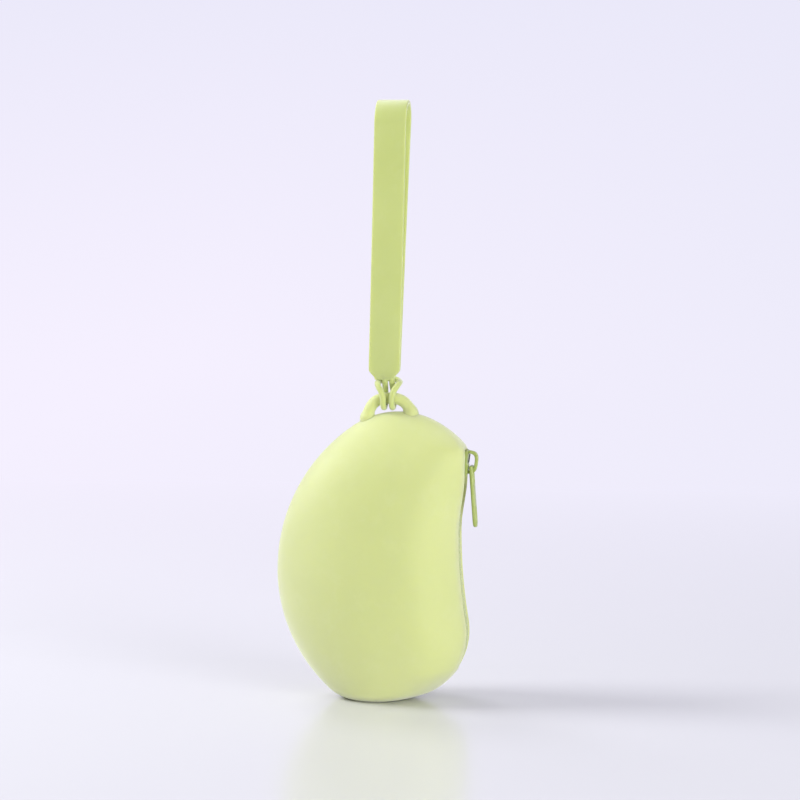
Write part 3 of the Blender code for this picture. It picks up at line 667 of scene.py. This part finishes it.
upperLength = chainRadius * (chainAngle(zipper["chainTop"]) + turnPoint)
lowerLength = smallRadius * (
    turnPoint - math.asin((bean["mouthBottom"] - bulgeCentre.z) / smallRadius))
mouthLength = upperLength + lowerLength
chainLength = mouthLength - zipper["endGap"]
aboveChain = bean["mouthTop"] - zipper["chainTop"]


def onChain(distance, across, proud):
    # a point by its distance down the chain, across it, and out from its middle
    if distance <= upperLength:
        angle = chainAngle(zipper["chainTop"]) - distance / chainRadius
        outward = Vector((math.cos(angle), 0.0, -math.sin(angle)))
        point = mouthCentre - outward * chainRadius
    else:
        angle = turnPoint - (distance - upperLength) / smallRadius
        outward = Vector((math.cos(angle), 0.0, math.sin(angle)))
        point = bulgeCentre + outward * smallRadius
    return point + outward * proud + Vector((0.0, across, 0.0))


def sweepChain(name, profileAt, start, end, steps):
    rings = []
    for step in range(steps + 1):
        distance = start + (end - start) * step / steps
        rings.append([onChain(distance, a, p) for a, p in profileAt(distance)])
    return skinRings(name, rings)


def lipRise(distance):
    # how far the lip stands out from the middle of the chain
    point = onChain(distance, 0.0, 0.0)
    outward = (onChain(distance, 0.0, 0.001) - point) * 1000.0
    return (lipEdge(point.z) - point.x) * outward.x


def mouthProfile(distance):
    # the slot, flared at its rim so that the lips come out rounded
    half = bean["mouthWidth"] / 2.0
    flare = bean["lipFlare"]
    crest = max(zipper["recess"], lipRise(distance)) - 0.0002
    fromEnd = min(distance + aboveChain, mouthLength - distance)
    half -= bean["mouthEnd"] * (1.0 - softRamp(0.0, bean["mouthEnd"], fromEnd))
    side = [(half, -bean["lipDepth"] - 0.003), (half, crest - flare)]
    for step in range(1, 7):
        turn = math.pi / 2.0 * step / 6.0
        side.append((half + flare * (1.0 - math.cos(turn)),
                     crest - flare * (1.0 - math.sin(turn))))
    side.append((half + flare, 0.006))      # well clear of the lip
    return side + [(-a, p) for a, p in reversed(side)]


def makePouchShell():
    outside = beanSkin("pouchShell", bean["skinRows"], edge=bean["baseEdge"])
    shell = newPiece("pouchShell", outside, skinMaterial)
    inside = beanSkin("lining", bean["liningRows"], bean["wall"], bean["lipDepth"])
    lining = newPiece("lining", inside, skinMaterial)
    slot = newPiece("slot", sweepChain("slot", mouthProfile, -aboveChain, mouthLength, 110),
                    skinMaterial)
    cutAway(shell, [lining, slot])
    for vertex in shell.data.vertices:
        # slow waves in the skin, none at the base it stands on or round the mouth
        stray = noise.noise(vertex.co * bean["wobbleScale"]) * bean["wobble"]
        stray *= softRamp(0.0, bean["calmBase"], vertex.co.z)
        stray *= softRamp(*bean["calmMouth"], abs(vertex.co.y))
        vertex.co.y += stray * math.copysign(1.0, vertex.co.y)
    carry(shell, 38.0, "pouch", "pouch_body")


# Lug, hitch and strap

lug = {
    "offset": 0.0053, "span": 0.0214, "barRadius": 0.0027, "height": 0.0062, "root": 0.008,
    "squareness": 0.74, "flare": 0.0010, "flareReach": 0.0042,
    "sunk": 0.0022,               # how deep the legs run into the dome
}
barCentre = Vector((lug["offset"], 0.0, bean["height"] + lug["height"]))


def domeTop(x):
    return domeCentre.z + halfChord(bean["domeRadius"], x - domeCentre.x)


def makeLugArch():
    rise = lug["height"] + lug["root"]
    points = []
    radii = []
    count = 72
    for step in range(count + 1):
        angle = math.pi * step / count
        across = squarish(-math.cos(angle), lug["squareness"])
        up = math.sin(angle) ** lug["squareness"]
        point = Vector((barCentre.x + lug["span"] / 2.0 * across, 0.0,
                        barCentre.z - rise + rise * up))
        clear = point.z - domeTop(point.x)
        if clear < -lug["sunk"]:
            continue
        spread = 1.0 - softRamp(0.0, lug["flareReach"], max(0.0, clear))
        points.append(point)
        radii.append(lug["barRadius"] + lug["flare"] * spread * spread)
    arch = newPiece("lugArch", sweepTube("lugArch", points, radii, (0.0, 1.0, 0.0), 32),
                    skinMaterial)
    carry(arch, 60.0, "pouch", "strap_lug")


hitch = {"offset": 0.0047, "radius": 0.0014, "gap": 0.0003, "neckRise": 0.0088}


def hitchSide(side):
    # down behind the bar, under it, up in front and round the neck, given one by one: each knot
    # is millimetres from the hitch's middle, then metres back and up from the bar's middle
    turn = lug["barRadius"] + hitch["gap"] + hitch["radius"]
    neck = hitch["neckRise"] - hitch["gap"]
    knots = [
        (1.65, 0.0, neck + 0.0012),
        (1.65, 0.0, neck),
        (1.68, 0.0002, neck - 0.0010),
        (1.75, 0.0016, neck - 0.0030),
        (1.95, turn * 0.90, turn * 0.52),
    ]
    for step in range(9):
        angle = math.pi * step / 8.0
        knots.append((2.05, turn * math.cos(angle), -turn * math.sin(angle)))
    knots += [
        (2.7, -turn * 1.02, 0.0030),
        (4.1, -0.0036, 0.0054),
        (5.05, -0.0010, 0.0071),
        (4.9, 0.0034, 0.0075),
        (2.8, 0.0050, 0.0085),
    ]
    return [(hitch["offset"] + side * x / 1000.0, y, barCentre.z + z) for x, y, z in knots]


def makeHitchCord():
    bight = (hitch["offset"], 0.0056, barCentre.z + 0.0089)
    points = flowThrough([*hitchSide(-1.0), bight, *reversed(hitchSide(1.0))], 7)
    radii = [hitch["radius"]] * len(points)
    cord = newPiece("hitchCord", sweepTube("hitchCord", points, radii, (1.0, 0.0, 0.0), 18),
                    strapMaterial)
    carry(cord, 60.0, "strap", "strap_hitch_loop")


band = {
    "width": 0.0148, "thickness": 0.0019, "top": 0.2832, "neckLength": 0.0044,
    "neckWidth": 0.0090, "neckGather": 0.0006, "neckThinning": 0.28,
    "spread": 0.0200, "spreadPower": 1.2, "shift": 0.0020, "lean": 0.0045,
    "edge": 0.00055, "plyGap": 0.0002,
}


def strapCentre(height):
    start = barCentre.z + hitch["neckRise"]
    share = (height - start) / (band["top"] - start)
    return hitch["offset"] - band["shift"] + band["lean"] * share


def makeStrapBand():
    bottom = barCentre.z + hitch["neckRise"]
    start = bottom + band["neckLength"]
    half = band["thickness"] / 2.0
    fold = band["spread"] / 2.0 - half
    foldHeight = band["top"] - half - fold
    rest = half + band["plyGap"]
    leg = []                    # one ply, as (back, up)
    for step in range(15):      # through the neck, where the plies are gathered
        share = step / 15.0
        back = band["neckGather"] + (rest - band["neckGather"]) * softRamp(0.1, 1.0, share)
        leg.append((back, bottom + band["neckLength"] * share))
    for step in range(61):      # and apart up to the fold
        share = step / 60.0
        leg.append((rest + (fold - rest) * share ** band["spreadPower"],
                    start + (foldHeight - start) * share))
    path = [(-y, z) for y, z in leg]
    for step in range(1, 32):
        angle = math.pi * step / 32.0
        path.append((-fold * math.cos(angle), foldHeight + fold * math.sin(angle)))
    path += [(y, z) for y, z in reversed(leg)]
    rings = []
    for index, middle in enumerate(path):
        before = path[max(0, index - 1)]
        after = path[min(len(path) - 1, index + 1)]
        run = Vector((after[0] - before[0], after[1] - before[1])).normalized()
        out = (-run.y, run.x)
        gather = softRamp(0.05, 1.12, (middle[1] - bottom) / band["neckLength"])
        wide = (band["neckWidth"] + (band["width"] - band["neckWidth"]) * gather) / 2.0
        thick = half * (1.0 - band["neckThinning"] * (1.0 - gather))
        ring = []
        for x, t in roundedLoop(wide, -thick, thick, band["edge"], 4):
            z = middle[1] + out[1] * t
            ring.append(Vector((strapCentre(z) + x, middle[0] + out[0] * t, z)))
        rings.append(ring)
    strap = newPiece("strapBand", skinRings("strapBand", rings), strapMaterial)
    carry(strap, 50.0, "strap", "wrist_strap")


# Zip: tapes, moulded teeth and end stops


def tapeProfile(side):
    # flat beside the teeth, then bent in along the wall of the slot
    half = zipper["tape"] / 2.0
    inner = zipper["leg"] + zipper["gap"]
    outer = bean["mouthWidth"] / 2.0 - zipper["gap"]
    wall = outer - zipper["tape"]
    bend = outer - zipper["tapeBend"]
    profile = [(inner, half * 0.6), (inner + 0.0001, half)]
    profile += [(inner + (bend - inner) * share, half) for share in (0.35, 0.7, 1.0)]
    for step in range(1, 6):
        turn = math.pi / 2.0 * step / 5.0
        profile.append((bend + zipper["tapeBend"] * math.sin(turn),
                        half - zipper["tapeBend"] * (1.0 - math.cos(turn))))
    profile += [(outer, -zipper["flange"]), (wall, -zipper["flange"]), (wall, -half - 0.0005),
                (wall - 0.0005, -half), (inner + 0.0001, -half), (inner, -half * 0.6)]
    return [(side * a, p) for a, p in profile]


def makeTape(name, side, node):
    mesh = sweepChain(name, lambda distance: tapeProfile(side), zipper["gap"] - aboveChain,
                      mouthLength - zipper["gap"], 120)
    tape = newPiece(name, mesh, tapeMaterial)
    carry(tape, 50.0, "pouch", node)


def toothBlank():
    # one tooth with its root, as (along, across) on the +across side
    head = zipper["head"] / 2.0
    neck = zipper["neck"] / 2.0
    reach = zipper["reach"]
    nose = zipper["noseShare"]
    leg = zipper["pitch"] * 0.31
    rounded = []
    for step in range(9):       # round nose from one side of the head to the other
        turn = math.pi * step / 8.0
        rounded.append((-head * math.cos(turn), -reach * (1.0 - nose + nose * math.sin(turn))))
    flank = [(leg, zipper["leg"]), (leg, zipper["beadOuter"] - 0.0004),
             (leg * 0.9, zipper["beadInner"] - 0.0001), (neck, zipper["beadInner"] - 0.0003),
             (neck, 0.0005), (head * 0.95, 0.0001)]
    outline = [(-along, across) for along, across in flank] + rounded + flank[::-1]
    mesh = stampedPlate("toothBlank", [outline], zipper["toothThickness"],
                        zipper["toothRim"])
    points = [tuple(vertex.co) for vertex in mesh.vertices]
    faces = [tuple(face.vertices) for face in mesh.polygons]
    bpy.data.meshes.remove(mesh)
    return points, faces


def makeTeeth(name, side, shift, node):
    blankPoints, blankFaces = toothBlank()
    build = bmesh.new()
    count = int((chainLength - zipper["start"] - zipper["head"] / 2.0 - shift) / zipper["pitch"])
    for number in range(count):
        middle = zipper["start"] + shift + number * zipper["pitch"]
        verts = [build.verts.new(onChain(middle + along, side * across, proud))
                 for along, across, proud in blankPoints]
        for face in blankFaces:
            build.faces.new([verts[index] for index in face])
    # the moulded bead that joins the roots
    bead = (zipper["beadInner"] + zipper["beadOuter"]) / 2.0
    wide = (zipper["beadOuter"] - zipper["beadInner"]) / 2.0
    high = zipper["toothThickness"] / 2.0 - 0.00012
    power = zipper["beadSquareness"]
    rings = []
    for step in range(161):
        distance = 0.0001 + (chainLength - 0.0002) * step / 160.0
        ring = []
        for turnStep in range(12):
            turn = 2.0 * math.pi * turnStep / 12.0
            across = bead + wide * squarish(math.cos(turn), power)
            ring.append(onChain(distance, side * across, high * squarish(math.sin(turn), power)))
        rings.append(ring)
    build.faces.new(joinRings(build, rings))
    bmesh.ops.recalc_face_normals(build, faces=build.faces)
    row = newPiece(name, meshFrom(name, build), toothMaterial)
    carry(row, 45.0, "pouch", node)


def makeStop(name, start, low, high, node):
    half = zipper["toothThickness"] / 2.0
    profile = [(low, -half), (high, -half), (high, half), (low, half)]
    block = sweepChain(name, lambda distance: profile, start, start + zipper["stopLength"], 2)
    stop = newPiece(name, block, paintMaterial)
    softenEdges(stop, 0.00032, 4)
    carry(stop, 50.0, "pouch", node)


# Slider and puller

slider = {
    "length": 0.0130, "height": 0.1131, "plate": 0.0010, "flangeWidth": 0.0008,
    "throatFlare": 0.0006, "crownWidth": 0.0024, "crownWall": 0.0012, "crownEye": 0.0036,
    "crownLength": 0.0112, "crownShift": 0.0009, "spring": 0.0004,
    "crownPlump": 0.0003, "crownRim": 0.0004, "crownShoulder": 0.7, "crownTop": 0.55,
    "boss": 0.0008, "dish": 0.000024,
    "endRound": 0.0005, "shoulderCut": 0.0012, "edge": 0.0002,
}
plateFace = zipper["toothThickness"] / 2.0 + zipper["gap"] + slider["plate"]


def onSlider(up, across, proud):
    # a point by its place on the slider, which rides on the hollow's arc
    angle = chainAngle(slider["height"]) + up / chainRadius
    outward = Vector((math.cos(angle), 0.0, -math.sin(angle)))
    return mouthCentre - outward * (chainRadius - proud) + Vector((0.0, across, 0.0))


def sliderHalfWidth(up):
    # wider at the throat, then drawn in to its rounded upper end
    narrow = zipper["leg"] + zipper["gap"] + slider["flangeWidth"]
    share = up / slider["length"]
    shoulder = max(0.0, (share - 0.36) / 0.14)
    flare = slider["throatFlare"] * softRamp(-0.05, 0.30, share)
    return narrow + flare - slider["shoulderCut"] * shoulder ** 2


def makeSliderPlate(name, face, node):
    inner = zipper["toothThickness"] / 2.0 + zipper["gap"]
    lowest = zipper["tape"] / 2.0 + zipper["gap"]
    channel = zipper["leg"] + zipper["gap"]
    room = bean["mouthWidth"] / 2.0 - zipper["tape"] - 2.0 * zipper["gap"] - 0.0001
    edge = slider["edge"]
    rings = []
    for step in range(33):
        share = step / 32.0
        up = slider["length"] * (share - 0.5)
        half = sliderHalfWidth(up)
        end = abs(up) / slider["length"] * 2.0
        half -= slider["endRound"] * max(0.0, (end - 0.9) / 0.1) ** 2
        if face < 0:            # the inner plate has to run between the tapes
            half = min(half, room)
        lane = min(channel, half - 0.4 * slider["flangeWidth"])
        # the flange dies away where the rounded end is narrower than the chain
        foot = inner + (lowest - inner) * softRamp(channel + 0.0001, channel + 0.0007, half)
        top = plateFace - 2.0 * edge * max(0.0, end - 0.7) / 0.3
        if face > 0:        # the boss under the bridge's lower leg
            top += slider["boss"] * softRamp(0.56, 0.44, share) * softRamp(0.0, 0.10, share)
        profile = [(-half, foot), (-lane, foot), (-lane, inner), (lane, inner), (lane, foot),
                   (half, foot), (half, top - edge), (half * 0.62, top),
                   (0.0, top - slider["dish"]), (-half * 0.62, top), (-half, top - edge)]
        rings.append([onSlider(up, a, face * p) for a, p in profile])
    plate = newPiece(name, skinRings(name, rings), paintMaterial)
    softenEdges(plate, 0.00022, 3, 35.0)
    carry(plate, 50.0, "slider", node)


def crownLine(rise, length, low):
    # a squarish arch over the slider's face, as (up, out)
    line = []
    for step in range(49):
        angle = math.pi * step / 48.0
        up = squarish(math.cos(angle), slider["crownShoulder"]) * length / 2.0
        out = low + (rise - low) * math.sin(angle) ** slider["crownTop"]
        line.append((up + slider["crownShift"], out))
    return line


def makeCrown():
    base = plateFace - 0.0001
    eye = plateFace + slider["crownEye"]
    outer = crownLine(eye + slider["crownWall"], slider["crownLength"], base)
    wall = slider["crownWall"] + slider["crownPlump"]
    inner = crownLine(eye - slider["crownPlump"], slider["crownLength"] - 2.0 * wall, base)
    mesh = stampedPlate("sliderBridge", [outer + inner[::-1]], slider["crownWidth"],
                        slider["crownRim"])
    for vertex in mesh.vertices:
        up, out, across = vertex.co
        vertex.co = onSlider(up, across, out)
    crown = newPiece("sliderBridge", mesh, paintMaterial)
    carry(crown, 50.0, "slider", "slider_crown")


pullTab = {
    "length": 0.0294, "width": 0.0066, "thickness": 0.0018, "window": 0.0062, "slot": 0.0078,
    "lean": 4.0, "rise": 0.0021, "corner": 0.0008, "play": 0.0008, "slotMargin": 0.0022,
    "slotWidth": 0.0028, "rim": 0.0007, "windowCorner": 0.0005,
}


def barUp():
    # where the puller's bar hangs in the crown's eye, up from the slider's middle
    tail = slider["crownShift"] - slider["crownLength"] / 2.0 + slider["crownWall"]
    return tail + zipper["gap"] + pullTab["thickness"] / 2.0 + pullTab["play"]


def makePuller():
    corner = pullTab["corner"]
    bar = pullTab["thickness"] / 2.0
    half = pullTab["width"] / 2.0
    bottom = bar - pullTab["length"]
    outline = []
    for step in range(13):
        turn = math.pi * step / 12.0
        outline.append((-half * math.cos(turn), bottom + half - half * math.sin(turn)))
    for side in (1, -1):
        for step in range(6):
            turn = math.radians(90.0 * step / 5.0 + (0.0 if side > 0 else 90.0))
            outline.append((side * (half - corner) + corner * math.cos(turn),
                            bar - corner + corner * math.sin(turn)))
    windowHalf = slider["crownWidth"] / 2.0 + 0.0005
    window = roundedLoop(windowHalf, -bar - pullTab["window"], -bar,
                         pullTab["windowCorner"], 5)
    slotLow = bottom + pullTab["slotMargin"]
    slot = roundedLoop(pullTab["slotWidth"] / 2.0, slotLow, slotLow + pullTab["slot"],
                       pullTab["slotWidth"] / 2.0 - 0.00001, 8)
    mesh = stampedPlate("puller", [outline, window, slot], pullTab["thickness"], pullTab["rim"])
    axis = onSlider(barUp(), 0.0, plateFace + pullTab["rise"])
    lean = Matrix.Rotation(math.radians(-pullTab["lean"]), 3, "Y")
    for vertex in mesh.vertices:
        across, up, out = vertex.co
        vertex.co = axis + lean @ Vector((out, across, up))
    puller = newPiece("pullerTab", mesh, paintMaterial)
    carry(puller, 50.0, "zip_puller", "puller")


def makeLockSpring():
    # a leaf on the slider's face, under the crown's upper leg, near black as painted shade in the
    # slider's throat
    start = barUp() + pullTab["thickness"] + zipper["gap"]
    end = slider["crownShift"] + slider["crownLength"] / 2.0 - slider["crownWall"]
    end -= 2.0 * zipper["gap"]
    half = slider["crownWidth"] / 2.0 - 0.0004
    low = plateFace + zipper["gap"]
    high = low + slider["spring"]
    rings = []
    for step in range(13):
        up = start + (end - start) * step / 12.0
        rings.append([onSlider(up, a, p) for a, p in (
            (-half, low), (half, low), (half, high), (-half, high))])
    spring = newPiece("lockSpring", skinRings("lockSpring", rings), springShadeMaterial)
    softenEdges(spring, 0.0001, 2)
    carry(spring, 50.0, "slider", "slider_lock_spring")


makePouchShell()
print("pouch shell done")
makeLugArch()
makeHitchCord()
makeStrapBand()
print("lug, hitch and strap done")
makeTape("frontTape", -1.0, "front_zipper_tape")
makeTape("backTape", 1.0, "back_zipper_tape")
makeTeeth("frontTeeth", -1.0, 0.0, "front_teeth_row")
makeTeeth("backTeeth", 1.0, zipper["pitch"] / 2.0, "back_teeth_row")
stopTop = -zipper["gap"] - zipper["stopLength"]
makeStop("frontTopStop", stopTop, -zipper["leg"], -zipper["stopNotch"], "front_top_stop")
makeStop("backTopStop", stopTop, zipper["stopNotch"], zipper["leg"], "back_top_stop")
makeStop("lowerStop", chainLength + zipper["gap"], -zipper["leg"], zipper["leg"], "bottom_stop")
makeSliderPlate("sliderFace", 1.0, "slider_body")
makeSliderPlate("sliderBack", -1.0, "slider_inner_plate")
makeCrown()
makeLockSpring()
makePuller()
print("zip, slider and puller done")

# Floor, backdrop and light

studio = {
    "floorColour": (0.715, 0.710, 0.765), "mottleColour": (0.755, 0.75, 0.80),
    "floorRoughness": 0.22, "floorGloss": 0.8, "mottleScale": 9.0, "grainScale": 700.0,
    # the backdrop's painted light: brighter at the left, dimmer at the right and at the top
    "backLeftPaintedLight": (0.914, 0.871, 1.0), "backRightPaintedShade": (0.831, 0.823, 0.947),
    "backTopPaintedShade": (0.815, 0.805, 0.945), "fadeStart": 0.08, "fadeEnd": 0.75,
    "sideStart": 0.60, "sideEnd": 1.60, "room": (0.885, 0.855, 0.985),
    "ambient": 0.42, "ambientColour": (0.98, 0.985, 1.0),
    "lamps": {
        "keyLight": {"power": 17.0, "size": 0.65, "place": (-1.20, -0.04, 0.95)},
        "fillLight": {"power": 13.0, "size": 0.8, "place": (1.00, -0.95, 0.36)},
        "topLight": {"power": 4.0, "size": 0.50, "place": (-0.45, 0.60, 1.20)},
    },
    "aim": (0.0, 0.0, 0.09),      # where every lamp points
}


def makeFloor(values):
    # one sheet, flat under the pouch and curving up far behind it
    profile = [(y, 0.0) for y in (-3.0, -1.0, 0.0, 1.0, 1.6)]
    for step in range(1, 13):
        turn = math.pi / 2.0 * step / 12.0
        profile.append((1.6 + 0.6 * math.sin(turn), 0.6 * (1.0 - math.cos(turn))))
    profile.append((2.2, 3.0))
    build = bmesh.new()
    rows = [[build.verts.new((x, y, z)) for y, z in profile] for x in (-4.0, 0.0, 4.0)]
    for first, second in zip(rows, rows[1:]):
        for index in range(len(profile) - 1):
            build.faces.new((first[index], second[index], second[index + 1], first[index + 1]))
    mesh = meshFrom("studioFloor", build)
    tree = newMaterial("studioFloor")
    where = tree.place()
    split = tree.add("ShaderNodeSeparateXYZ", links={"Vector": where})
    mottle = tree.speckle(where, values["mottleScale"])
    tone = tree.mixColours(tree.span(mottle, 0.0, 0.12), values["floorColour"],
                           values["mottleColour"])
    tree.feed("Base Color", tone)
    grain = tree.speckle(where, values["grainScale"])
    tree.feed("Normal", tree.bump(grain, 0.04, 0.0002))
    tree.set(Roughness=values["floorRoughness"], Specular_IOR_Level=values["floorGloss"])
    # painted light on the backdrop, brighter at the left and dimmer to the right and towards the
    # top, which takes over away from the pouch
    across = tree.span(split.outputs["X"], 0.0, 1.0, -0.45, 0.45)
    back = tree.mixColours(across, values["backLeftPaintedLight"], values["backRightPaintedShade"])
    upward = tree.span(split.outputs["Z"], 0.0, 0.8, 0.0, 0.4)
    back = tree.mixColours(upward, back, values["backTopPaintedShade"])
    glow = tree.add("ShaderNodeEmission", {"Strength": 1.0}, {"Color": back})
    far = tree.span(split.outputs["Y"], 0.0, 1.0, values["fadeStart"], values["fadeEnd"])
    front = tree.sums("MULTIPLY", split.outputs["Y"], -1.0)
    aside = tree.sums("MAXIMUM", front, tree.sums("ABSOLUTE", split.outputs["X"], 0.0))
    aside = tree.span(aside, 0.0, 1.0, values["sideStart"], values["sideEnd"])
    shown = tree.sums("MULTIPLY", tree.seenRays(), tree.sums("MAXIMUM", far, aside))
    tree.mixShaders(shown, tree.shader.outputs[0], glow.outputs[0],
                    tree.nodes["Material Output"].inputs["Surface"])
    floor = newPiece("studioFloor", mesh, tree.owner)
    shadeSmooth(floor, 40.0)


def makeLamp(name, values):
    lampData = bpy.data.lights.new(name, "AREA")
    lampData.shape = "DISK"
    lampData.size = values["size"]
    lampData.energy = values["power"]
    holder = bpy.data.objects.new(name, lampData)
    bpy.context.scene.collection.objects.link(holder)
    holder.location = values["place"]
    towards = Vector(studio["aim"]) - Vector(values["place"])
    holder.rotation_euler = towards.to_track_quat("-Z", "Y").to_euler()


def makeWorld(values):
    tree = NodeTree(bpy.data.worlds.new("softRoom"))
    bpy.context.scene.world = tree.owner
    light = tree.nodes["Background"]
    light.inputs["Color"].default_value = (*values["ambientColour"], 1.0)
    light.inputs["Strength"].default_value = values["ambient"]
    # the pale room that the camera and reflections see, which lights nothing
    shown = tree.add("ShaderNodeBackground", {"Color": (*values["room"], 1.0)})
    tree.mixShaders(tree.seenRays(), light.outputs[0], shown.outputs[0],
                    tree.nodes["World Output"].inputs["Surface"])


makeFloor(studio)
for lampName, lamp in studio["lamps"].items():
    makeLamp(lampName, lamp)
makeWorld(studio)
bpy.context.scene.view_settings.view_transform = "Standard"
print("studio done")
